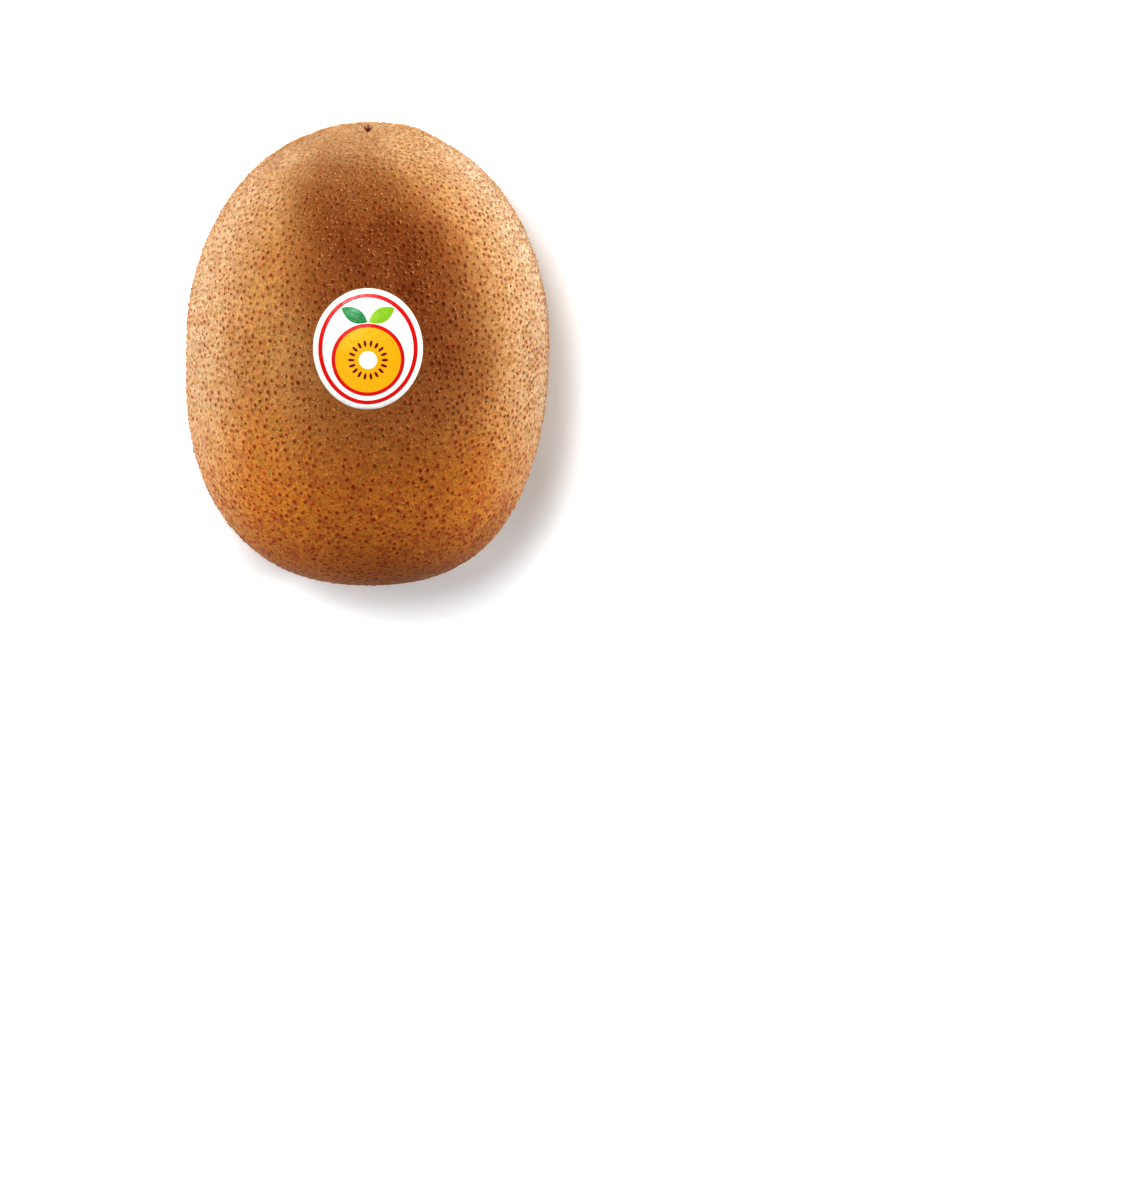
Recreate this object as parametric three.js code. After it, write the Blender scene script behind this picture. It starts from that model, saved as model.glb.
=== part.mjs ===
// A golden kiwi fruit lying on its side: one solid of skin and flesh, the dried flower
// styles at its blossom end, and an oval paper label on its upper side.
// Millimetres. +Z is up, +Y points to the blossom end, and the fruit rests on z = 0.

import * as THREE from 'three';
import { ConvexHull } from 'three/addons/math/ConvexHull.js';

// Overall size
const LENGTH = 70;
const WIDTH = 54.5;
const THICKNESS = 51;
const WIDEST_SHARE = 0.468; // distance of the widest section from the blossom end
const SIDE_LEAN = 0.4; // how far the stem half bows towards -X
const SWELL_HEIGHT = 0.12; // slow waves that keep the skin from being perfectly regular
const SWELL_LENGTH = 9;

// Each half is a superellipse with its own two powers
const BLOSSOM_END = { reach: LENGTH * WIDEST_SHARE, along: 2, across: 2.15 };
const STEM_END = { reach: LENGTH * (1 - WIDEST_SHARE), along: 2.6, across: 2.6 };
const HALF_WIDTH = WIDTH / 2;
const HALF_THICKNESS = THICKNESS / 2;

// Flat spot that the fruit rests on
const REST_DEPTH = 0.65;
const REST_EDGE_POINTS = 28;
const REST_MARGIN = 0.8;
const REST_PRESS = 0.3; // pushes the edge of the spot below the floor, so that it ends on it

// Relief of the two ends starts at this share of each half's reach
const CAP_SHARE = 0.8;
const FIRST_RING_POINTS = 8;
const POINTS_ADDED_PER_RING = 3;

// Blossom end: a dimple inside a low shoulder, which stands higher on the +X side
const DIMPLE_DEPTH = 0.95;
const DIMPLE_RADIUS = 2.8;
const SHOULDER_HEIGHT = 0.3;
const SHOULDER_RADIUS = 6.5;
const SHOULDER_WIDTH = 3;
const SHOULDER_TILT = 0.5;
const BLOSSOM_RINGS = [0.9, 1.9, 3, 4.3, 5.8, 7.5];

// Stem end: a sunken corky scar with a raised collar, in a shallow hollow
const SCAR_DEPTH = 0.75;
const SCAR_RADIUS = 2;
const COLLAR_HEIGHT = 0.5;
const COLLAR_RADIUS = 2.6;
const COLLAR_WIDTH = 0.45;
const HOLLOW_DEPTH = 0.6;
const HOLLOW_RADIUS = 6;
const STEM_RINGS = [1, 1.95, 2.3, 2.6, 3.15, 4.4, 6, 8];

// Lenticels: raised corky dots, fewer and larger than life
const LENTICEL_COUNT = 780;
const LENTICEL_SIDES = 5;
const LENTICEL_RADIUS = 0.65;
const LENTICEL_HEIGHT = 0.42;
const LENTICEL_SCATTER = 0.03;
const LENTICEL_SMALLEST = 0.75;
const LENTICEL_LARGEST = 1.25;
const LENTICEL_SEED = 41;

// Dried styles: a small hub with stiff bristles, standing in the dimple
const STYLE_COUNT = 17;
const STYLE_SEED = 7;
const STYLE_LENGTH = 0.95;
const STYLE_SHORTEST = 0.7;
const STYLE_SIDES = 4;
const STYLE_ROOT_RADIUS = 0.1;
const STYLE_TIP_RADIUS = 0.07;
const STYLE_SPREAD = 1.2; // lean of the outermost bristles, in radians
const HUB_RADIUS = 0.55;
const HUB_HEIGHT = 0.4;
const HUB_SIDES = 10;
const HUB_FOOT_RINGS = [-0.8, -0.25];

// Paper label: an oval sheet that follows the skin
const LABEL_WIDTH = 16.2;
const LABEL_LENGTH = 18;
const LABEL_THICKNESS = 0.4;
const LABEL_CENTRE_Y = 2.3;
const LABEL_SIDES = 36;
const LABEL_RINGS = 4;
const LABEL_MARGIN = 1.2;

const GAP = 0.3; // clear space between two pieces that touch
const GOLDEN_ANGLE = Math.PI * (3 - Math.sqrt(5));

function seededRandom(seed) {
  let state = seed;
  return () => {
    state = (state * 1664525 + 1013904223) % 4294967296;
    return state / 4294967296;
  };
}

// A bell curve: 1 at the centre, falling to nothing over a few widths
function bell(distance, width) {
  return Math.exp(-((distance / width) ** 2));
}

function between(low, high, share) {
  return low + (high - low) * share;
}

function endAt(y) {
  return y < 0 ? STEM_END : BLOSSOM_END;
}

// Share of the full width that is left at a share of the half's reach
function girthAt(end, share) {
  return (1 - share ** end.along) ** (1 / end.across);
}

function shareAt(end, girth) {
  return (1 - girth ** end.across) ** (1 / end.along);
}

// Every point of the skin is named by a unit direction: its y is the share of the reach
function directionAt(share, around) {
  const radius = Math.sqrt(1 - share * share);
  return new THREE.Vector3(radius * Math.cos(around), share, radius * Math.sin(around));
}

// Smooth skin without any relief
function bareSkin(direction) {
  const end = endAt(direction.y);
  const share = Math.min(Math.abs(direction.y), 1);
  const girth = girthAt(end, share);
  const around = Math.atan2(direction.z, direction.x);
  const lean = direction.y < 0 ? SIDE_LEAN * Math.sin(Math.PI * share) ** 2 : 0;
  return new THREE.Vector3(
    HALF_WIDTH * girth * Math.cos(around) - lean,
    Math.sign(direction.y) * end.reach * share,
    HALF_THICKNESS * girth * Math.sin(around),
  );
}

function outward(direction) {
  const end = endAt(direction.y);
  const share = Math.min(Math.abs(direction.y), 1);
  const radial = end.across * girthAt(end, share) ** (end.across - 1);
  const around = Math.atan2(direction.z, direction.x);
  return new THREE.Vector3(
    (radial * Math.cos(around)) / HALF_WIDTH,
    (Math.sign(direction.y) * end.along * share ** (end.along - 1)) / end.reach,
    (radial * Math.sin(around)) / HALF_THICKNESS,
  ).normalize();
}

function blossomRelief(point) {
  const radius = Math.hypot(point.x, point.z);
  const tilt = 1 + (SHOULDER_TILT * point.x) / SHOULDER_RADIUS;
  const shoulder = SHOULDER_HEIGHT * tilt * bell(radius - SHOULDER_RADIUS, SHOULDER_WIDTH);
  return shoulder - DIMPLE_DEPTH * bell(radius, DIMPLE_RADIUS);
}

function stemRelief(point) {
  const radius = Math.hypot(point.x, point.z);
  const collar = COLLAR_HEIGHT * bell(radius - COLLAR_RADIUS, COLLAR_WIDTH);
  const wall = THREE.MathUtils.smoothstep(radius, SCAR_RADIUS, COLLAR_RADIUS);
  return collar - SCAR_DEPTH * (1 - wall) - HOLLOW_DEPTH * bell(radius, HOLLOW_RADIUS);
}

function swell(point) {
  const across = Math.sin(point.x / SWELL_LENGTH + 1) * Math.sin(point.y / SWELL_LENGTH);
  const upward = Math.sin(point.z / SWELL_LENGTH + 2) * Math.cos(point.y / SWELL_LENGTH + 1);
  return SWELL_HEIGHT * (across + upward);
}

// The finished skin, raised by a lenticel or by the clearance under a label
function skin(direction, raise = 0) {
  const point = bareSkin(direction);
  const ends = direction.y < 0 ? stemRelief(point) : blossomRelief(point);
  const depth = swell(point) + (Math.abs(direction.y) > CAP_SHARE ? ends : 0);
  point.addScaledVector(outward(direction), depth + raise);
  point.z = Math.max(point.z, REST_DEPTH - HALF_THICKNESS);
  return point;
}

// Edge of the flat spot: the line where the floor cuts the skin
function restEdge() {
  const level = 1 - REST_DEPTH / HALF_THICKNESS;
  const edge = [];
  for (let i = 0; i < REST_EDGE_POINTS; i += 1) {
    const turn = ((i + 0.5) * 2 * Math.PI) / REST_EDGE_POINTS;
    const end = endAt(Math.sin(turn));
    const share = shareAt(end, level) * Math.abs(Math.sin(turn));
    const drop = Math.asin(level / girthAt(end, share));
    const around = Math.cos(turn) > 0 ? -drop : drop - Math.PI;
    edge.push(directionAt(Math.sign(Math.sin(turn)) * share, around));
  }
  return edge;
}

function levelRing(share, count, twist = 0) {
  const ring = [];
  for (let i = 0; i < count; i += 1) {
    ring.push(directionAt(share, ((i + twist) * 2 * Math.PI) / count));
  }
  return ring;
}

// Rings of points round an end, close enough together to hold its relief
function endRings(end, sign, radii) {
  const points = [new THREE.Vector3(0, sign, 0)];
  for (const [ring, radius] of radii.entries()) {
    const share = shareAt(end, radius / HALF_WIDTH);
    const count = FIRST_RING_POINTS + POINTS_ADDED_PER_RING * ring;
    points.push(...levelRing(sign * share, count, ring / 2));
  }
  return points;
}

function insideLabel(point, margin) {
  const across = point.x / (LABEL_WIDTH / 2 + margin);
  const along = (point.y - LABEL_CENTRE_Y) / (LABEL_LENGTH / 2 + margin);
  return point.z > 0 && Math.hypot(across, along) < 1;
}

function nearAnEnd(point) {
  const rings = point.y < 0 ? STEM_RINGS : BLOSSOM_RINGS;
  const onCap = Math.abs(point.y) > CAP_SHARE * endAt(point.y).reach;
  return onCap && Math.hypot(point.x, point.z) < rings.at(-1) + 2 * LENTICEL_RADIUS;
}

function nearRest(point) {
  return point.z < REST_DEPTH + REST_MARGIN - HALF_THICKNESS;
}

// Centres of the lenticels: a golden-angle spiral over the fruit, shaken by the seed
function lenticelCentres() {
  const random = seededRandom(LENTICEL_SEED);
  const shake = () => LENTICEL_SCATTER * (2 * random() - 1);
  const centres = [];
  for (let i = 0; i < LENTICEL_COUNT; i += 1) {
    const share = 1 - (2 * i + 1) / LENTICEL_COUNT;
    const direction = directionAt(share, i * GOLDEN_ANGLE);
    direction.add(new THREE.Vector3(shake(), shake(), shake())).normalize();
    const size = between(LENTICEL_SMALLEST, LENTICEL_LARGEST, random());
    centres.push({ direction, size });
  }
  return centres;
}

// Directions in a small ring round another direction
function ringRound(direction, radius, sides) {
  const side = new THREE.Vector3(-direction.z, 0, direction.x).normalize();
  const forward = new THREE.Vector3().crossVectors(direction, side);
  const ring = [];
  for (let i = 0; i < sides; i += 1) {
    const turn = (i * 2 * Math.PI) / sides;
    const point = direction.clone();
    point.addScaledVector(side, radius * Math.cos(turn));
    ring.push(point.addScaledVector(forward, radius * Math.sin(turn)).normalize());
  }
  return ring;
}

function atHeight(directions, raise) {
  return directions.map((direction) => ({ direction, raise }));
}

// One lenticel: a raised middle in a ring of points on the skin
function lenticelPoints({ direction, size }) {
  const ring = ringRound(direction, (LENTICEL_RADIUS * size) / HALF_WIDTH, LENTICEL_SIDES);
  return [...atHeight([direction], LENTICEL_HEIGHT * size), ...atHeight(ring, 0)];
}

function skinPoints() {
  const points = [];
  for (const centre of lenticelCentres()) {
    const place = bareSkin(centre.direction);
    const free = !nearAnEnd(place) && !nearRest(place);
    if (free && insideLabel(place, LABEL_MARGIN)) {
      points.push(...atHeight([centre.direction], 0));
    } else if (free) {
      points.push(...lenticelPoints(centre));
    }
  }
  points.push(...atHeight(restEdge(), REST_PRESS));
  points.push(...atHeight(endRings(BLOSSOM_END, 1, BLOSSOM_RINGS), 0));
  points.push(...atHeight(endRings(STEM_END, -1, STEM_RINGS), 0));
  return points;
}

// The directions lie on a sphere, so their convex hull joins each to its near neighbours
function triangles(directions) {
  const hull = new ConvexHull().setFromPoints(directions);
  const number = new Map(directions.map((direction, i) => [direction, i]));
  const index = [];
  for (const face of hull.faces) {
    let edge = face.edge;
    do {
      index.push(number.get(edge.head().point));
      edge = edge.next;
    } while (edge !== face.edge);
  }
  return index;
}

// A closed body whose points stand where place puts each direction and height
function bodyGeometry(points, place) {
  const places = points.map(({ direction, raise }) => place(direction, raise));
  const geometry = new THREE.BufferGeometry().setFromPoints(places);
  geometry.setIndex(triangles(points.map(({ direction }) => direction)));
  geometry.computeVertexNormals();
  return geometry;
}

// Direction of the skin straight above a place on the label
function labelDirection(share, turn) {
  const x = (share * LABEL_WIDTH * Math.cos(turn)) / 2;
  const y = LABEL_CENTRE_Y + (share * LABEL_LENGTH * Math.sin(turn)) / 2;
  const along = y / endAt(y).reach;
  const girth = girthAt(endAt(y), Math.abs(along));
  return directionAt(along, Math.acos(x / (HALF_WIDTH * girth)));
}

// One face of the label: its middle point, then rings out to the edge
function labelSheet(raise) {
  const places = [skin(labelDirection(0, 0), raise)];
  for (let ring = 1; ring <= LABEL_RINGS; ring += 1) {
    for (let i = 0; i < LABEL_SIDES; i += 1) {
      const turn = (i * 2 * Math.PI) / LABEL_SIDES;
      places.push(skin(labelDirection(ring / LABEL_RINGS, turn), raise));
    }
  }
  return places;
}

function labelGeometry() {
  const upper = labelSheet(GAP + LABEL_THICKNESS);
  const lower = labelSheet(GAP);
  const index = [];
  const at = (ring, i) => 1 + ring * LABEL_SIDES + (i % LABEL_SIDES);
  const both = (a, b, c) => {
    index.push(a, b, c, a + upper.length, c + upper.length, b + upper.length);
  };
  for (let i = 0; i < LABEL_SIDES; i += 1) {
    both(0, at(0, i), at(0, i + 1));
    for (let ring = 1; ring < LABEL_RINGS; ring += 1) {
      both(at(ring - 1, i), at(ring, i), at(ring, i + 1));
      both(at(ring - 1, i), at(ring, i + 1), at(ring - 1, i + 1));
    }
    const edge = at(LABEL_RINGS - 1, i);
    const next = at(LABEL_RINGS - 1, i + 1);
    index.push(edge, edge + upper.length, next + upper.length);
    index.push(edge, next + upper.length, next);
  }
  const geometry = new THREE.BufferGeometry().setFromPoints([...upper, ...lower]);
  geometry.setIndex(index);
  geometry.computeVertexNormals();
  return geometry;
}

// One bristle: a ring at its root on the hub, a ring at its tip and the tip's middle
function stylePoints(direction, length) {
  const tipReach = HUB_RADIUS + length;
  const root = ringRound(direction, STYLE_ROOT_RADIUS / HUB_RADIUS, STYLE_SIDES);
  const tip = ringRound(direction, STYLE_TIP_RADIUS / tipReach, STYLE_SIDES);
  return [...atHeight(root, 0), ...atHeight([...tip, direction], length)];
}

function tuftPoints() {
  const random = seededRandom(STYLE_SEED);
  const points = [];
  for (let i = 0; i < STYLE_COUNT; i += 1) {
    const lean = STYLE_SPREAD * Math.sqrt((i + 0.5) / STYLE_COUNT);
    const direction = directionAt(Math.cos(lean), i * GOLDEN_ANGLE);
    const length = STYLE_LENGTH * between(STYLE_SHORTEST, 1, random());
    points.push(...stylePoints(direction, length));
  }
  points.push(...atHeight([new THREE.Vector3(0, -1, 0)], 0));
  for (const share of HUB_FOOT_RINGS) {
    points.push(...atHeight(levelRing(share, HUB_SIDES), 0));
  }
  return points;
}

function placeOnHub(direction, raise) {
  const place = direction.clone().multiplyScalar(HUB_RADIUS + raise);
  place.y = direction.y * (HUB_HEIGHT + raise);
  return place;
}

function piece(name, geometry, color, roughness) {
  const material = new THREE.MeshStandardMaterial({ color, roughness, metalness: 0 });
  const mesh = new THREE.Mesh(geometry, material);
  mesh.name = name;
  return mesh;
}

function placeOnFloor(group) {
  const box = new THREE.Box3().setFromObject(group);
  const centre = box.getCenter(new THREE.Vector3());
  group.position.set(-centre.x, -centre.y, -box.min.z);
}

const kiwi = new THREE.Group();
kiwi.add(piece('fruit', bodyGeometry(skinPoints(), skin), 0xb5743a, 0.75));
kiwi.add(piece('label', labelGeometry(), 0xf2efe6, 0.5));

const tuft = bodyGeometry(tuftPoints(), placeOnHub);
const driedStyles = piece('dried_styles', tuft, 0x3b2519, 0.9);
const dimpleFloor = skin(new THREE.Vector3(0, 1, 0)).y;
driedStyles.position.y = dimpleFloor + GAP + HUB_HEIGHT;
kiwi.add(driedStyles);

placeOnFloor(kiwi);

export default kiwi;
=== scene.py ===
import math
import bpy
import numpy as np
from mathutils import Matrix, Vector, kdtree
from mathutils.geometry import delaunay_2d_cdt


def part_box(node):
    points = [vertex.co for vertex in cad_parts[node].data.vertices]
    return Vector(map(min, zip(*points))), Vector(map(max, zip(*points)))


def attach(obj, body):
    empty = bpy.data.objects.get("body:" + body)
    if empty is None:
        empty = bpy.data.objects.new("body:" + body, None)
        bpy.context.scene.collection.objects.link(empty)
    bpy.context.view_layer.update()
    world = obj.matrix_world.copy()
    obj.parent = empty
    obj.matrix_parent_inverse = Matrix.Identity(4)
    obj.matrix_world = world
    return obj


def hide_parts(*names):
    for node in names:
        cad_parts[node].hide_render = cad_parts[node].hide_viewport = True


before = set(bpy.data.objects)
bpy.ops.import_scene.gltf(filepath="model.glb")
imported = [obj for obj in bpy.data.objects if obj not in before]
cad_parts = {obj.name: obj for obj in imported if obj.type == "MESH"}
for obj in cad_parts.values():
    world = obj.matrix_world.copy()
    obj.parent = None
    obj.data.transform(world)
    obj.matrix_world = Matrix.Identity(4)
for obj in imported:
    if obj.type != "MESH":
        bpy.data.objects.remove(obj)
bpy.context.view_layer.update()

# Body of the fruit
# One grown piece: firm flesh under a thin golden-brown skin. The skin is covered in raised
# corky dots, the lenticels, and has a dimple where the flower was and a scar where it was picked.

MM = 0.001
low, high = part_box("fruit")
solid_dot_height = 0.8 * MM
rest_depth = 0.65 * MM
fruit_length = high.y - low.y + 0.2 * MM
half_width = (high.x - low.x) / 2 - solid_dot_height
half_thickness = (high.z + rest_depth) / 2
stem_reach = 0.532 * fruit_length
blossom_reach = fruit_length - stem_reach - 0.9 * MM
middle = Vector(((low.x + high.x) / 2, low.y + stem_reach, half_thickness - rest_depth))

side_lean = 0.4 * MM
swell_height = 0.12 * MM
swell_length = 9 * MM
dimple_depth, dimple_radius = 0.75 * MM, 2.4 * MM
blossom_tilt, tilted_radius = 0.1, 9 * MM
shoulder_height, shoulder_radius, shoulder_width = 0.22 * MM, 6.5 * MM, 3 * MM
shoulder_tilt = 1.0
scar_depth, scar_radius = 0.75 * MM, 2 * MM
collar_height, collar_radius, collar_width = 0.5 * MM, 2.6 * MM, 0.45 * MM
hollow_depth, hollow_radius = 0.6 * MM, 6 * MM


def bell(distance, width):
    """1 at no distance, falling smoothly to nothing within about twice the width."""
    return np.exp(-((distance / width) ** 2))


def ease(value, start, end):
    """0 up to the start, 1 from the end on, and a smooth rise between."""
    share = np.clip((value - start) / (end - start), 0, 1)
    return share * share * (3 - 2 * share)


def girth_at(along):
    """Share of the full width left at a place along the fruit: +1 is the blossom end."""
    t = np.clip(np.abs(along), 0, 1)
    blossom = (1 - t**2) ** (1 / 2.15)
    stem = (1 - t**2.6) ** (1 / 2.6)
    return np.where(along < 0, stem, blossom)


def outward_at(along, around):
    """Outward direction of the skin, from the place along the fruit and the angle round it."""
    t = np.clip(np.abs(along), 0, 1)
    on_stem = along < 0
    across_power = np.where(on_stem, 2.6, 2.15)
    radial = across_power * girth_at(along) ** (across_power - 1)
    slope = np.where(on_stem, -2.6 * t**1.6 / stem_reach, 2 * t / blossom_reach)
    x = radial * np.cos(around) / half_width
    z = radial * np.sin(around) / half_thickness
    out = np.stack([x, slope, z], axis=-1)
    return out / np.linalg.norm(out, axis=-1, keepdims=True)


def skin_at(along, around, lift=0.0):
    """Points of the skin, in metres, from the place along the fruit and the angle round it."""
    girth = girth_at(along)
    lean = np.where(along < 0, side_lean * np.sin(math.pi * along) ** 2, 0)
    x = half_width * girth * np.cos(around) - lean
    y = along * np.where(along < 0, stem_reach, blossom_reach)
    z = half_thickness * girth * np.sin(around)
    radius = np.hypot(x, z)
    tilt = 1 + shoulder_tilt * x / shoulder_radius
    shoulder = shoulder_height * tilt * bell(radius - shoulder_radius, shoulder_width)
    blossom = shoulder - dimple_depth * bell(radius, dimple_radius)
    blossom = blossom - blossom_tilt * z * bell(radius, tilted_radius)
    collar = collar_height * bell(radius - collar_radius, collar_width)
    floor = scar_depth * (1 - ease(radius, scar_radius, collar_radius))
    stem = collar - floor - hollow_depth * bell(radius, hollow_radius)
    ends = np.where(along < 0, stem, blossom) * ease(np.abs(along), 0.7, 0.85)
    waves = np.sin(x / swell_length + 1) * np.sin(y / swell_length)
    waves = waves + np.sin(z / swell_length + 2) * np.cos(y / swell_length + 1)
    raised = ends + swell_height * waves + lift
    places = np.stack([x, y, z], axis=-1) + outward_at(along, around) * raised[..., None]
    places[..., 2] = np.maximum(places[..., 2], rest_depth - half_thickness)
    return places + np.array(middle)


def even_spread():
    """Place along the fruit for each share of its skin's area, from stem end to blossom end."""
    along = np.sin(np.linspace(-math.pi / 2, math.pi / 2, 4001))
    radius = girth_at(along) * (half_width + half_thickness) / 2
    y = along * np.where(along < 0, stem_reach, blossom_reach)
    band = (radius[1:] + radius[:-1]) * np.hypot(np.diff(y), np.diff(radius))
    area = np.concatenate([[0], np.cumsum(band)])
    return area / area[-1], along


area_shares, along_shares = even_spread()


def place_of(directions):
    """Place along the fruit and angle round it for directions spread evenly on a ball."""
    along = np.interp((directions[:, 1] + 1) / 2, area_shares, along_shares)
    return along, np.arctan2(directions[:, 2], directions[:, 0])


def divided_ball(divisions):
    """Directions and triangles of an icosahedron whose sides are divided evenly."""
    golden = (1 + math.sqrt(5)) / 2
    corners = [(0, s, t * golden) for s in (1, -1) for t in (1, -1)]
    corners += [(s, t * golden, 0) for s in (1, -1) for t in (1, -1)]
    corners += [(t * golden, 0, s) for s in (1, -1) for t in (1, -1)]
    corners = np.array(corners, float)
    close = np.linalg.norm(corners[:, None] - corners[None], axis=2) < 2.1
    sides = [
        (a, b, c)
        for a in range(12) for b in range(a + 1, 12) for c in range(b + 1, 12)
        if close[a, b] and close[b, c] and close[a, c]
    ]
    grid = [(i, j) for i in range(divisions + 1) for j in range(divisions + 1 - i)]
    number = {place: n for n, place in enumerate(grid)}
    up = [(number[i, j], number[i + 1, j], number[i, j + 1]) for i, j in grid if i + j < divisions]
    down = [
        (number[i + 1, j], number[i + 1, j + 1], number[i, j + 1])
        for i, j in grid if i + j < divisions - 1
    ]
    pattern = np.array(up + down)
    share = np.array(grid, float) / divisions
    points, faces = [], []
    for a, b, c in sides:
        if np.dot(np.cross(corners[a], corners[b]), corners[c]) < 0:
            b, c = c, b
        place = corners[a] + share[:, :1] * (corners[b] - corners[a])
        place = place + share[:, 1:] * (corners[c] - corners[a])
        faces.append(pattern + len(points) * len(grid))
        points.append(place)
    points = np.concatenate(points)
    points /= np.linalg.norm(points, axis=1, keepdims=True)
    key = np.round(points * 1e6).astype(np.int64)
    _, first, same = np.unique(key, axis=0, return_index=True, return_inverse=True)
    return points[first], same.reshape(-1)[np.concatenate(faces)]


def mesh_piece(name, places, faces, material, slot):
    """A smooth mesh object from arrays of points and triangles, riding on the fruit."""
    mesh = bpy.data.meshes.new(name)
    mesh.from_pydata(places.tolist(), [], faces.tolist())
    mesh.polygons.foreach_set("use_smooth", np.ones(len(faces), bool))
    mesh.materials.append(material)
    mesh.update()
    piece = bpy.data.objects.new(name, mesh)
    bpy.context.scene.collection.objects.link(piece)
    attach(piece, "root")
    return piece


def point_values(piece, name, values):
    """Stores one number for each point of a piece, which its material reads by name."""
    layer = piece.data.attributes.new(name, "FLOAT", "POINT")
    layer.data.foreach_set("value", np.ascontiguousarray(values, dtype=np.float32))


class Finish:
    """A material for one finish, with short calls for the nodes that the finishes share."""

    def __init__(self, name):
        self.material = bpy.data.materials.new(name)
        self.material.use_nodes = True
        self.nodes = self.material.node_tree.nodes
        self.links = self.material.node_tree.links
        self.shader = self.nodes["Principled BSDF"]
        self.place = self.nodes.new("ShaderNodeTexCoord").outputs["Object"]

    def put(self, source, socket):
        if isinstance(source, bpy.types.NodeSocket):
            self.links.new(source, socket)
        else:
            socket.default_value = source

    def set(self, **values):
        for name, value in values.items():
            self.put(value, self.shader.inputs[name.replace("_", " ")])

    def stored(self, name):
        node = self.nodes.new("ShaderNodeAttribute")
        node.attribute_name = name
        return node.outputs["Fac"]

    def noise(self, size, detail=3.0, roughness=0.5, distortion=0.0):
        node = self.nodes.new("ShaderNodeTexNoise")
        self.put(self.place, node.inputs["Vector"])
        self.put(1 / size, node.inputs["Scale"])
        self.put(detail, node.inputs["Detail"])
        self.put(roughness, node.inputs["Roughness"])
        self.put(distortion, node.inputs["Distortion"])
        return node.outputs["Fac"]

    def cells(self, size):
        node = self.nodes.new("ShaderNodeTexVoronoi")
        self.put(self.place, node.inputs["Vector"])
        self.put(1 / size, node.inputs["Scale"])
        return node.outputs["Distance"]

    def fit(self, value, start, end, low=0.0, high=1.0):
        node = self.nodes.new("ShaderNodeMapRange")
        node.interpolation_type = "SMOOTHSTEP"
        for socket, number in zip(node.inputs[:5], (value, start, end, low, high)):
            self.put(number, socket)
        return node.outputs["Result"]

    def times(self, first, second):
        node = self.nodes.new("ShaderNodeMath")
        node.operation = "MULTIPLY"
        self.put(first, node.inputs[0])
        self.put(second, node.inputs[1])
        return node.outputs["Value"]

    def blend(self, share, first, second, kind="MIX"):
        node = self.nodes.new("ShaderNodeMix")
        node.data_type = "RGBA"
        node.blend_type = kind
        self.put(share, node.inputs[0])
        self.put(first, node.inputs[6])
        self.put(second, node.inputs[7])
        return node.outputs[2]

    def bump(self, height, depth, under=None):
        node = self.nodes.new("ShaderNodeBump")
        self.put(1.0, node.inputs["Strength"])
        self.put(depth, node.inputs["Distance"])
        self.put(height, node.inputs["Height"])
        if under is not None:
            self.put(under, node.inputs["Normal"])
        return node.outputs["Normal"]


def tone(red, green, blue):
    """A colour as the contrasty picture shows it, 0 to 255, as the light values a shader takes."""
    return tuple((c / 255) ** 1.76 for c in (red, green, blue)) + (1.0,)


golden = tone(202, 156, 100)
warm_brown = tone(186, 132, 76)
orange_gold = tone(206, 138, 60)
# The next three colours carry painted light: the brown of the upper side's band, partly painted
# shade; the red of the stem end, painted shade; and the pale gold of the flanks, painted sheen.
dark_brown = tone(126, 62, 20)
painted_shade_red = tone(146, 66, 28)
painted_sheen_gold = tone(226, 202, 172)
fleck_tan = tone(232, 190, 136)
red_blush = tone(178, 96, 54)
olive = tone(176, 134, 58)
dot_brown = (0.58, 0.33, 0.25, 1)
dot_red = (0.86, 0.38, 0.28, 1)
cork = tone(196, 146, 96)
cork_dark = tone(120, 76, 46)


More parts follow.
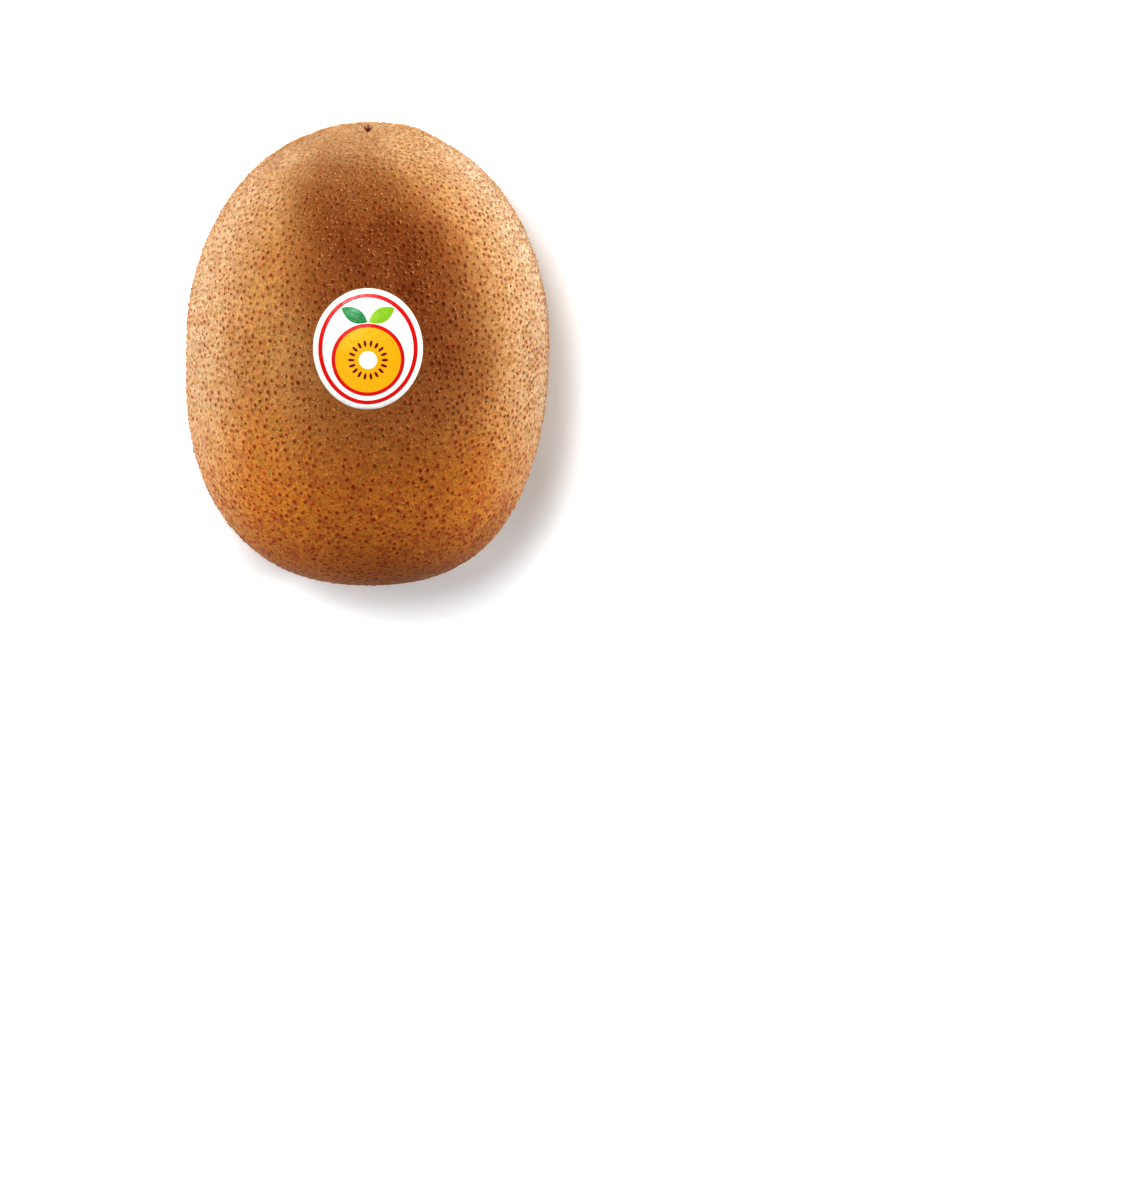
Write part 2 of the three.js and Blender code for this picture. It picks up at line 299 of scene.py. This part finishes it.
def skin_finish():
    """Golden-brown skin: zones and patches of colour, painted sheen on the flanks and painted
    shade on the upper side and stem end, then dots, grain, flecks and the scar.
    """
    skin = Finish("kiwi_skin")
    patches = skin.fit(skin.noise(0.012, 3), 0.25, 0.75)
    colour = skin.blend(patches, golden, warm_brown)
    colour = skin.blend(skin.stored("stem_half"), colour, orange_gold)
    # painted sheen: the sideways-facing flanks turn pale, with a painted highlight on the right
    # cheek
    colour = skin.blend(skin.stored("painted_sheen_sides"), colour, painted_sheen_gold)
    blush = skin.fit(skin.noise(0.0015, 4, 0.62), 0.48, 0.6)
    colour = skin.blend(skin.times(blush, skin.stored("blush")), colour, red_blush)
    green = skin.fit(skin.noise(0.0021, 3, distortion=0.4), 0.5, 0.75, 0, 0.4)
    colour = skin.blend(green, colour, olive)
    halo = skin.fit(skin.stored("dot"), 0.0, 0.25)
    red_halo = skin.times(skin.times(halo, skin.stored("stem_half")), 0.4)
    colour = skin.blend(red_halo, colour, red_blush)
    mottling = skin.fit(skin.noise(0.004, 3), 0.3, 0.7, 0.93, 1.07)
    # the upper side's tan, deepened with painted shade where the skin faces straight up
    colour = skin.blend(skin.times(skin.stored("tan_and_painted_shade"), mottling), colour, dark_brown)
    # painted shade: the stem end darkened to red-brown where the lower rim gets little light
    colour = skin.blend(skin.stored("stem_end_painted_shade"), colour, painted_shade_red)
    flecks = skin.fit(skin.noise(0.00045, 3, 0.6), 0.52, 0.7)
    flecks = skin.times(flecks, skin.stored("flecked"))
    colour = skin.blend(flecks, colour, fleck_tan)
    grain = skin.fit(skin.noise(0.00035, 3, 0.6), 0.3, 0.7, 0.8, 1.18)
    colour = skin.blend(1.0, colour, grain, "MULTIPLY")
    ink = skin.blend(skin.stored("dot_red"), dot_brown, dot_red)
    dot = skin.fit(skin.stored("dot"), 0.15, 0.6)
    dot = skin.times(dot, skin.stored("dot_strength"))
    colour = skin.blend(dot, colour, ink, "MULTIPLY")
    scar_grain = skin.fit(skin.noise(0.0006, 4, 0.7), 0.3, 0.7)
    bark = skin.blend(scar_grain, cork_dark, cork)
    colour = skin.blend(skin.stored("scar"), colour, bark)
    skin.set(Base_Color=colour)
    skin.set(Roughness=skin.fit(skin.noise(0.0009, 3), 0.3, 0.7, 0.42, 0.62))
    skin.set(Specular_IOR_Level=0.15, Sheen_Weight=0.15, Sheen_Roughness=0.3)
    skin.set(Sheen_Tint=tone(255, 240, 215))
    skin.set(Subsurface_Weight=0.12, Subsurface_Radius=(1.0, 0.42, 0.12), Subsurface_Scale=0.0012)
    pores = skin.bump(skin.noise(0.0003, 3, 0.65), 0.0001)
    pebbles = skin.bump(skin.cells(0.0006), 0.0001, pores)
    raised = skin.fit(skin.stored("stem_half"), 0, 1, 1, 0.4)
    raised = skin.times(skin.fit(skin.stored("dot"), 0.0, 0.8), raised)
    skin.set(Normal=skin.bump(raised, 0.00016, pebbles))
    return skin.material


chance = np.random.default_rng(2417)
directions, skin_faces = divided_ball(99)
along, around = place_of(directions)
smooth_skin = skin_at(along, around)
skin_out = outward_at(along, around)

label_size = Vector((16.0 * MM, 17.7 * MM))
label_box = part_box("label")
label_middle = (label_box[0] + label_box[1]) / 2 - Vector((0, 0.25 * MM, 0))


def under_label(places, margin):
    """Whether each point lies under the paper label or within the margin round it."""
    across = (places[:, 0] - label_middle.x) / (label_size.x / 2 + margin)
    lengthwise = (places[:, 1] - label_middle.y) / (label_size.y / 2 + margin)
    return (np.hypot(across, lengthwise) < 1) & (places[:, 2] > middle.z)


dot_gap_places = (-1, -0.35, 0.05, 0.5, 0.85, 1)
dot_gaps = np.array((0.9, 0.97, 0.9, 0.86, 0.8, 0.78)) * MM
smallest_gap = 0.76 * MM
cluster_size = 1.1 * MM


def dot_centres():
    """Points of the skin that carry a lenticel: none is nearer to another than the gap there."""
    finder = kdtree.KDTree(len(smooth_skin))
    for number, place in enumerate(smooth_skin):
        finder.insert(place, number)
    finder.balance()
    x, y, z = (smooth_skin / cluster_size).T
    uneven = np.sin(x + 1.3 * np.sin(0.7 * y)) * np.sin(y + 1.1 * np.sin(0.9 * x))
    uneven = uneven + 0.5 * np.sin(z + x)
    gap = np.interp(along, dot_gap_places, dot_gaps) * (1.07 + 0.34 * uneven)
    gap = np.maximum(gap, smallest_gap)
    radius = np.hypot(smooth_skin[:, 0] - middle.x, smooth_skin[:, 2] - middle.z)
    on_scar = (along < -0.9) & (radius < collar_radius + 0.8 * MM)
    in_dimple = (along > 0.9) & (radius < 1.2 * MM)
    taken = under_label(smooth_skin, 0.6 * MM) | on_scar | in_dimple
    taken |= smooth_skin[:, 2] < 0.02 * MM
    centres = []
    for number in chance.permutation(len(smooth_skin)):
        if not taken[number]:
            centres.append(number)
            for _, near, _ in finder.find_range(smooth_skin[number], gap[number]):
                taken[near] = True
    return np.array(centres)


def neighbours():
    """For each point, the points that share a side with it."""
    pairs = np.concatenate([skin_faces[:, [0, 1]], skin_faces[:, [1, 2]], skin_faces[:, [2, 0]]])
    pairs = pairs[np.argsort(pairs[:, 0], kind="stable")]
    start = np.searchsorted(pairs[:, 0], np.arange(len(directions) + 1))
    return pairs[:, 1], start


centres = dot_centres()
near_points, near_start = neighbours()
skin_places = smooth_skin.copy()
dot_value = np.zeros(len(directions))
dot_strength = np.zeros(len(directions))
dot_redness = np.zeros(len(directions))
centre_strength = np.clip(chance.normal(0.68, 0.3, len(centres)), 0.15, 1)
centre_strength *= np.interp(along[centres], (-0.85, -0.4, 0.7, 0.93), (1.3, 1, 1, 0.5))
centre_redness = chance.uniform(0.25, 1, len(centres))
dot_radius = np.interp(along[centres], dot_gap_places, dot_gaps)
dot_radius *= np.clip(chance.normal(0.36, 0.07, len(centres)), 0.22, 0.48)
steepness = np.interp(along[centres], (-1, -0.5, 0, 0.3, 1), (0.2, 0.36, 0.65, 0.85, 0.6))
dot_height = dot_radius * steepness * np.clip(chance.normal(1, 0.25, len(centres)), 0.5, 1.5)
for row, centre in enumerate(centres):
    ring = near_points[near_start[centre]:near_start[centre + 1]]
    offset = smooth_skin[ring] - smooth_skin[centre]
    length = np.linalg.norm(offset, axis=1, keepdims=True)
    lengthened = offset[chance.integers(len(ring))]
    lengthened = lengthened / np.linalg.norm(lengthened)
    stretch = 0.9 + 0.35 * centre_strength[row] * np.abs(offset @ lengthened)[:, None] / length
    skin_places[ring] = smooth_skin[centre] + offset / length * dot_radius[row] * stretch
    skin_places[ring] += skin_out[ring] * dot_height[row] * 0.3
    skin_places[centre] += skin_out[centre] * dot_height[row]
    dot_value[centre] = 1
    for points in (ring, centre):
        dot_strength[points] = centre_strength[row]
        dot_redness[points] = centre_redness[row]
skin_places[:, 2] = np.maximum(skin_places[:, 2], 0)


def corky_ends():
    """How corky each point is: the scar fully, the floor of the dimple partly."""
    radius = np.hypot(smooth_skin[:, 0] - middle.x, smooth_skin[:, 2] - middle.z)
    past_collar = ease(radius, collar_radius + 0.2 * MM, collar_radius + 0.9 * MM)
    past_dimple = ease(radius, 0.3 * MM, 0.9 * MM)
    on_scar = (along < -0.9) * (1 - past_collar)
    in_dimple = (along > 0.9) * (1 - past_dimple)
    return np.maximum(on_scar, 0.6 * in_dimple)


def tan_and_painted_shade():
    """How far each point lies in the dark brown band along the upper side: partly the skin's own
    tan, partly painted shade where the skin faces up.
    """
    places = (-0.9, -0.7, -0.35, 0, 0.3, 0.6, 0.8, 0.95)
    dark = np.interp(along, places, (0.05, 0.15, 0.46, 0.8, 0.88, 0.83, 0.62, 0.36))
    turn = np.interp(along, (-0.6, 0.1, 0.5, 0.75, 0.9), (81, 80, 85, 97, 104))
    turn = np.radians(turn)
    nearness = skin_out[:, 0] * np.cos(turn) + skin_out[:, 2] * np.sin(turn)
    nearness /= np.linalg.norm(skin_out[:, [0, 2]] + 1e-9, axis=1)
    return dark * ease(nearness, 0.78, 1.01) * ease(girth_at(along), 0.05, 0.5)


def painted_sheen_sides():
    """How far each point takes painted sheen: the flanks paled as if grazing light caught the
    fuzz, and a painted highlight on the right cheek beside the blossom end.
    """
    pale = np.interp(along, (-0.95, -0.75, -0.3, 0.2, 0.9, 1), (0, 0.3, 0.6, 0.75, 0.75, 0.5))
    sideways = np.hypot(skin_out[:, 0], 0.85 * np.maximum(skin_out[:, 1], 0))
    highlight_cheek = 0.3 * ease(0.78 * skin_out[:, 0] + 0.6 * skin_out[:, 1], 0.78, 0.97)
    return np.minimum(pale * ease(sideways, 0.55, 1) + highlight_cheek, 1)


flecked = np.interp(along, (-0.3, 0.3, 0.8, 0.93), (0, 0.08, 0.15, 0.55))
fruit = mesh_piece("fruit_skin", skin_places, skin_faces, skin_finish(), "skin")
point_values(fruit, "dot", dot_value)
point_values(fruit, "dot_strength", np.minimum(dot_strength, 1))
point_values(fruit, "dot_red", dot_redness)
point_values(fruit, "scar", corky_ends())
# the upper side's tan, deepened with painted shade
point_values(fruit, "tan_and_painted_shade", tan_and_painted_shade())
point_values(fruit, "stem_half", ease(-along, 0.05, 0.6))
# painted shade at the stem end
point_values(fruit, "stem_end_painted_shade", 0.55 * ease(-along, 0.6, 0.97))
point_values(fruit, "blush", 0.22 + 0.6 * ease(-along, 0.25, 0.8))
point_values(fruit, "flecked", flecked)
# painted sheen on the flanks and a painted highlight on the right cheek
point_values(fruit, "painted_sheen_sides", painted_sheen_sides())
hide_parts("fruit")

# Fuzz
# Short dead hairs that grow out of the skin all over, closest together towards the blossom end.
# Each is a dry chain of cells, pale and bent, finer than a thread. Some bend round the dots.

hair_count = 19000
hair_length = (0.45 * MM, 1.0 * MM)
hair_radius = 0.04 * MM
pore_hair_radius = 0.1 * MM
pore_hair_reach = 0.3 * MM


def fuzz_finish():
    """Dry pale hair, a little darker in places."""
    fuzz = Finish("fuzz")
    tint = fuzz.fit(fuzz.noise(0.002, 2), 0.35, 0.65)
    fuzz.set(Base_Color=fuzz.blend(tint, tone(236, 186, 128), tone(206, 148, 90)))
    fuzz.set(Roughness=0.6, Specular_IOR_Level=0.4)
    return fuzz.material


def along_skin(out):
    """Two directions along the skin: one round the fruit, one towards its blossom end."""
    side = np.cross((0, 1, 0), out)
    side /= np.linalg.norm(side, axis=1, keepdims=True)
    return side, np.cross(out, side)


def hair_mesh(roots, middles, tips, out, radius):
    """Points and triangles of bent three-sided hairs, each closed and pointed."""
    across = np.cross(out, tips - roots)
    across /= np.linalg.norm(across, axis=1, keepdims=True)
    rings = []
    for centre, thickness in ((roots, radius), (middles, 0.8 * radius)):
        for corner in range(3):
            angle = 2 * math.pi * corner / 3
            rings.append(centre + (across * math.cos(angle) + out * math.sin(angle)) * thickness)
    points = np.stack(rings + [tips], axis=1).reshape(-1, 3)
    pattern = [(0, 1, 2)]
    for a, b in ((0, 1), (1, 2), (2, 0)):
        pattern += [(a, b + 3, b), (a, a + 3, b + 3), (a + 3, 6, b + 3)]
    faces = np.array(pattern)[None] + 7 * np.arange(len(roots))[:, None, None]
    return points, faces.reshape(-1, 3)


def loose_hairs(count):
    """Hairs all over the skin, which lie loosely towards the stem end."""
    share = chance.random(count) ** 0.42
    turn = chance.uniform(0, 2 * math.pi, count)
    height = 2 * share - 1
    girth = np.sqrt(1 - height**2)
    spread = np.stack([girth * np.cos(turn), height, girth * np.sin(turn)], axis=-1)
    place, angle = place_of(spread)
    roots = skin_at(place, angle, -0.02 * MM)
    keep = ~under_label(roots, 0.1 * MM) & (roots[:, 2] > hair_length[1])
    place, angle, roots = place[keep], angle[keep], roots[keep]
    out = outward_at(place, angle)
    side, forward = along_skin(out)
    count = len(roots)
    turn = chance.normal(-math.pi / 2, 1.1, count)[:, None]
    lying = side * np.cos(turn) + forward * np.sin(turn)
    length = chance.uniform(*hair_length, count)[:, None]
    rise = chance.uniform(0.35, 0.75, count)[:, None]
    bend = chance.uniform(-0.5, 0.5, count)[:, None] * np.cross(out, lying)
    middles = roots + (lying * (1 - rise) + out * rise) * length * 0.5
    end = lying + bend + out * chance.uniform(-0.25, 0.25, count)[:, None]
    return hair_mesh(roots, middles, middles + end * length * 0.5, out, hair_radius)


def pore_hairs():
    """One short thick hair beside each raised dot of the blossom half, bent round the dot."""
    odds = np.interp(along[centres], (-0.4, 0.1), (0, 0.85))
    chosen = centres[chance.random(len(centres)) < odds]
    chosen = chosen[smooth_skin[chosen, 2] > 2 * pore_hair_reach]
    out = skin_out[chosen]
    side, forward = along_skin(out)
    reach = pore_hair_reach * chance.uniform(0.7, 1.3, len(chosen))[:, None]
    start = chance.normal(-0.3, 0.35, len(chosen))[:, None]
    arc = chance.uniform(0.7, 1.9, len(chosen))[:, None]
    bends = []
    for share, lift in ((0, 0.0), (0.5, 0.14 * MM), (1, 0.08 * MM)):
        turn = start + arc * share
        place = side * np.cos(turn) + forward * np.sin(turn)
        bends.append(smooth_skin[chosen] + place * reach + out * lift)
    return hair_mesh(*bends, out, pore_hair_radius)


fuzz_material = fuzz_finish()
mesh_piece("fuzz_loose", *loose_hairs(hair_count), fuzz_material, "skin")
mesh_piece("fuzz_at_pores", *pore_hairs(), fuzz_material, "skin")

# Dried flower styles
# The withered tips of the flower, left standing in the dimple at the blossom end: stiff,
# brittle, dark brown bristles that grow out of one small woody knob.

knob_radius = 0.27 * MM
knob_height = 0.35 * MM
style_count = 8
style_sides = 6
style_steps = 5
style_length = 1.5 * MM
style_thickness = 0.17 * MM


def styles_finish():
    """Dark red-brown dry plant fibre with paler streaks."""
    dry = Finish("dry_styles")
    streaks = dry.fit(dry.noise(0.00025, 3, 0.6), 0.3, 0.7)
    dry.set(Base_Color=dry.blend(streaks, tone(84, 24, 16), tone(136, 56, 38)))
    dry.set(Roughness=dry.fit(streaks, 0, 1, 0.65, 0.85))
    dry.set(Normal=dry.bump(dry.noise(0.0001, 2), 0.00003))
    return dry.material


def bent_bristle(start, heading, droop, length):
    """A tapering bristle from a start point, bending from its heading towards the droop."""
    sides, steps = style_sides, style_steps
    places, faces = [], []
    across = heading.orthogonal().normalized()
    for step in range(steps + 1):
        share = step / steps
        centre = start + heading * (length * share) + droop * (length * share * share)
        radius = style_thickness / 2 * (1 - 0.65 * share)
        for side in range(sides):
            turn = Matrix.Rotation(2 * math.pi * side / sides, 3, heading)
            places.append(centre + turn @ across * radius)
    for step in range(steps):
        for side in range(sides):
            a = step * sides + side
            b = step * sides + (side + 1) % sides
            faces += [(a, b, b + sides), (a, b + sides, a + sides)]
    for first, order in ((0, -1), (steps * sides, 1)):
        for side in range(1, sides - 1):
            corner = (first, first + side, first + side + 1)
            faces.append(corner[::order])
    return places, faces


def joined(parts):
    """Several meshes as one array of points and one of faces."""
    places, faces, count = [], [], 0
    for part_places, part_faces in parts:
        places.append(np.array([tuple(place) for place in part_places]))
        faces.append(np.array(part_faces) + count)
        count += len(part_places)
    return np.concatenate(places), np.concatenate(faces)


dimple_floor = Vector(skin_at(np.array([1.0]), np.array([0.0]))[0])
knob_points, knob_faces = divided_ball(6)
knob = knob_points * (knob_radius, knob_height, knob_radius)
knob = knob * (1 + 0.12 * np.sin(knob_points[:, :1] * 9 + 1) * np.cos(knob_points[:, 2:] * 8))
knob = knob + np.array(dimple_floor)
parts = [(knob, knob_faces)]
golden_angle = math.pi * (3 - math.sqrt(5))
for style in range(style_count):
    lean = 0.85 * math.sqrt((style + 0.5) / style_count)
    turn = style * golden_angle + chance.uniform(-0.3, 0.3)
    across = Vector((math.cos(turn), 0, math.sin(turn)))
    heading = across * math.sin(lean) + Vector((0, math.cos(lean), 0))
    droop = Vector(chance.uniform(-0.25, 0.25, 3))
    start = dimple_floor + heading * knob_height * 0.6
    length = style_length * chance.uniform(0.55, 1)
    parts.append(bent_bristle(start, heading, droop, length))

styles = mesh_piece("dried_styles_tuft", *joined(parts), styles_finish(), "dried_styles")
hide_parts("dried_styles")

# Paper label
# A thin oval of white coated paper, glued to the skin while the fruit was packed. It is
# printed in flat colours: a red ring, a golden slice of fruit with dark seeds and two leaves.

paper_lift = 0.09 * MM
paper_sink = 0.06 * MM
edge_points = 96
filling_gap = 0.55 * MM


def placed(x, y, base_x, base_y, turn):
    """A point of a printed shape, turned and moved to its base on the label."""
    return (
        base_x + x * math.cos(turn) - y * math.sin(turn),
        base_y + x * math.sin(turn) + y * math.cos(turn),
    )


def oval(middle_x, middle_y, radius_x, radius_y, count, turn=0.0):
    """The outline of an oval."""
    points = []
    for i in range(count):
        angle = 2 * math.pi * i / count
        x, y = radius_x * math.cos(angle), radius_y * math.sin(angle)
        points.append(placed(x, y, middle_x, middle_y, turn))
    return points


def leaf(base_x, base_y, length, width, turn, steps=9):
    """The outline of a leaf: two arcs that meet in a point at its base and at its tip."""
    upper = [(s / steps, math.sin(math.pi * s / steps) ** 0.8) for s in range(steps + 1)]
    lower = [(share, -rise) for share, rise in reversed(upper[1:-1])]
    points = []
    for share, rise in upper + lower:
        points.append(placed(share * length, rise * width / 2, base_x, base_y, turn))
    return points


def inside(point, outline):
    """Whether a point of the label lies within an outline."""
    x, y = point
    crossed = False
    for (ax, ay), (bx, by) in zip(outline, outline[1:] + outline[:1]):
        if (ay > y) != (by > y) and x < ax + (y - ay) / (by - ay) * (bx - ax):
            crossed = not crossed
    return crossed


def print_finish(name, colour):
    """One flat ink on coated paper, with the paper's faint fibres and waves."""
    ink = Finish(name)
    fibres = ink.fit(ink.noise(0.0004, 3), 0.3, 0.7, 0.96, 1.0)
    ink.set(Base_Color=ink.blend(1.0, colour, fibres, "MULTIPLY"))
    ink.set(Roughness=ink.fit(ink.noise(0.0012, 2), 0.3, 0.7, 0.3, 0.42))
    ink.set(Normal=ink.bump(ink.noise(0.0011, 2), 0.00006))
    return ink.material


half_x, half_y = label_size / 2
inks = [
    print_finish("label_white", tone(250, 248, 243)),
    print_finish("label_red", tone(222, 28, 26)),
    print_finish("label_gold", tone(252, 188, 30)),
    print_finish("label_seed", tone(120, 30, 16)),
    print_finish("label_dark_green", tone(0, 128, 58)),
    print_finish("label_light_green", tone(146, 196, 42)),
]
white, red, gold, seed, dark_green, light_green = range(len(inks))
slice_y = -1.5 * MM
shapes = [
    (oval(0, 0, half_x, half_y, edge_points), white),
    (oval(0, 0, 0.9 * half_x, 0.91 * half_y, edge_points), red),
    (oval(0, 0, 0.83 * half_x, 0.85 * half_y, edge_points), white),
    (oval(0, slice_y, 5.3 * MM, 5.3 * MM, 64), red),
    (oval(0, slice_y, 4.8 * MM, 4.8 * MM, 64), gold),
    (oval(0, slice_y, 1.35 * MM, 1.35 * MM, 24), white),
]
for number in range(18):
    angle = 2 * math.pi * number / 18
    reach = 2.45 * MM
    place = (reach * math.cos(angle), slice_y + reach * math.sin(angle))
    shapes.append((oval(*place, 0.5 * MM, 0.2 * MM, 8, angle), seed))
shapes.append((leaf(-0.1 * MM, 4.0 * MM, 4.2 * MM, 2.1 * MM, math.radians(152)), dark_green))
shapes.append((leaf(0.1 * MM, 4.0 * MM, 4.2 * MM, 2.1 * MM, math.radians(28)), light_green))


def label_mesh():
    """The flat label as points, triangles and an ink for each, cut along every printed line."""
    points, edges = [], []
    for outline, _ in shapes:
        first = len(points)
        points += outline
        edges += [(first + i, first + (i + 1) % len(outline)) for i in range(len(outline))]
    rim = shapes[0][0]
    for x in np.arange(-half_x, half_x, filling_gap):
        for y in np.arange(-half_y, half_y, filling_gap):
            if math.hypot(x / half_x, y / half_y) < 0.97:
                points.append((x, y))
    flat, _, faces, *_ = delaunay_2d_cdt([Vector(p) for p in points], edges, [], 0, 1e-6)
    centres = [sum((flat[i] for i in face), Vector((0, 0))) / 3 for face in faces]
    faces = [face for face, centre in zip(faces, centres) if inside(centre, rim)]
    used = sorted({i for face in faces for i in face})
    number = {old: new for new, old in enumerate(used)}
    flat = [flat[i] for i in used]
    faces = [tuple(number[i] for i in face) for face in faces]
    colours = []
    for face in faces:
        centre = (flat[face[0]] + flat[face[1]] + flat[face[2]]) / 3
        colours.append([ink for outline, ink in shapes if inside(centre, outline)][-1])
    return flat, faces, colours


flat_points, paper_faces, paper_colours = label_mesh()
paper_x = np.array([p.x for p in flat_points])
paper_y = np.array([p.y for p in flat_points]) + label_middle.y - middle.y
paper_along = paper_y / np.where(paper_y < 0, stem_reach, blossom_reach)
paper_around = np.arccos(paper_x / (half_width * girth_at(paper_along)))
paper_top = skin_at(paper_along, paper_around, paper_lift)
paper_bottom = skin_at(paper_along, paper_around, -paper_sink)
count = len(flat_points)
rim_sides = {}
for face in paper_faces:
    for a, b in zip(face, face[1:] + face[:1]):
        if rim_sides.pop((b, a), None) is None:
            rim_sides[a, b] = True
walls = []
for a, b in rim_sides:
    walls += [(a, a + count, b + count), (a, b + count, b)]
below = [(a + count, c + count, b + count) for a, b, c in paper_faces]
paper_points = np.concatenate([paper_top, paper_bottom])
all_faces = np.array(list(paper_faces) + below + walls)
label = mesh_piece("oval_label", paper_points, all_faces, inks[white], "label_paper")
for ink in inks[1:]:
    label.data.materials.append(ink)
ink_numbers = paper_colours + [white] * (len(below) + len(walls))
label.data.polygons.foreach_set("material_index", ink_numbers)
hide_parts("label")

# Floor, light and camera
# A pale tabletop seen from above. Four low lamps stand round the fruit, and a soft one hangs
# high up beyond its blossom end, for the shadow. Low down, the room round the table is white.

floor_reach = 0.27
floor_mesh = bpy.data.meshes.new("floor")
floor_corners = [(-1, -1), (1, -1), (1, 1), (-1, 1)]
floor_points = [(x * floor_reach, y * floor_reach, 0) for x, y in floor_corners]
floor_mesh.from_pydata(floor_points, [], [(0, 1, 2, 3)])
floor = bpy.data.objects.new("floor", floor_mesh)
bpy.context.scene.collection.objects.link(floor)
floor_finish = Finish("pale_floor")
floor_finish.set(Base_Color=(0.87, 0.9, 0.93, 1), Roughness=0.9, Specular_IOR_Level=0.1)
floor_finish.set(Emission_Color=(0.97, 0.99, 1, 1), Emission_Strength=0.2)
floor_mesh.materials.append(floor_finish.material)


def lamp(name, turn, height, distance, size, level):
    """A rectangular lamp aimed at the fruit, from a turn and a height in degrees."""
    light = bpy.data.lights.new(name, "AREA")
    light.shape = "RECTANGLE"
    light.size, light.size_y = size
    light.energy = level * (math.pi * distance) ** 2
    turn, height = math.radians(turn), math.radians(height)
    across = math.cos(height)
    away = Vector((across * math.cos(turn), across * math.sin(turn), math.sin(height)))
    holder = bpy.data.objects.new(name, light)
    holder.location = middle + away * distance
    holder.rotation_euler = (-away).to_track_quat("-Z", "Y").to_euler()
    bpy.context.scene.collection.objects.link(holder)


lamp("left_lamp", 180, 16, 0.9, (0.4, 0.2), 0.55)
lamp("right_lamp", 20, 22, 0.9, (0.14, 0.14), 0.65)
lamp("far_lamp", 86, 10, 0.9, (0.5, 0.16), 0.1)
lamp("near_lamp", 310, 14, 0.9, (0.5, 0.16), 0.15)
lamp("high_lamp", 119, 70, 1.0, (0.24, 0.24), 0.75)

world = bpy.data.worlds.new("studio")
world.use_nodes = True
world_nodes, world_links = world.node_tree.nodes, world.node_tree.links
direction = world_nodes.new("ShaderNodeTexCoord")
upward = world_nodes.new("ShaderNodeSeparateXYZ")
dimming = world_nodes.new("ShaderNodeMapRange")
world_links.new(direction.outputs["Generated"], upward.inputs["Vector"])
world_links.new(upward.outputs["Z"], dimming.inputs["Value"])
for socket, number in zip(dimming.inputs[1:5], (0.09, 0.16, 1.0, 0.01)):
    socket.default_value = number
world_nodes["Background"].inputs["Color"].default_value = (1, 1, 1, 1)
world_links.new(dimming.outputs["Result"], world_nodes["Background"].inputs["Strength"])
bpy.context.scene.world = world
bpy.context.scene.view_settings.view_transform = "Standard"
bpy.context.scene.view_settings.look = "None"
bpy.context.scene.view_settings.gamma = 0.6

photo_width, photo_height = 1140, 1200
photo_fruit = (368, 353)
millimetres_per_pixel = 0.151
lens = 150.0
sensor = 36.0
elevation = math.radians(81)
camera_distance = photo_height * millimetres_per_pixel * MM / sensor * lens
aside = (photo_fruit[0] - photo_width / 2) * millimetres_per_pixel * MM / camera_distance
above = (photo_height / 2 - photo_fruit[1]) * millimetres_per_pixel * MM / camera_distance
seen_at = Vector((aside, above, -1)).normalized()
back = Vector((0, math.cos(elevation), math.sin(elevation)))
right = Vector((1, 0, 0))
up = back.cross(right)
aimed_at_fruit = Matrix((right, up, back)).transposed().to_quaternion()
turned_aside = seen_at.rotation_difference(Vector((0, 0, -1)))
camera_data = bpy.data.cameras.new("camera")
camera_data.lens = lens
camera_data.sensor_width = sensor
camera = bpy.data.objects.new("camera", camera_data)
camera.rotation_mode = "QUATERNION"
camera.rotation_quaternion = aimed_at_fruit @ turned_aside
fruit_centre = Vector((middle.x, (low.y + high.y) / 2, middle.z))
camera.location = fruit_centre + back * camera_distance
bpy.context.scene.collection.objects.link(camera)
bpy.context.scene.camera = camera
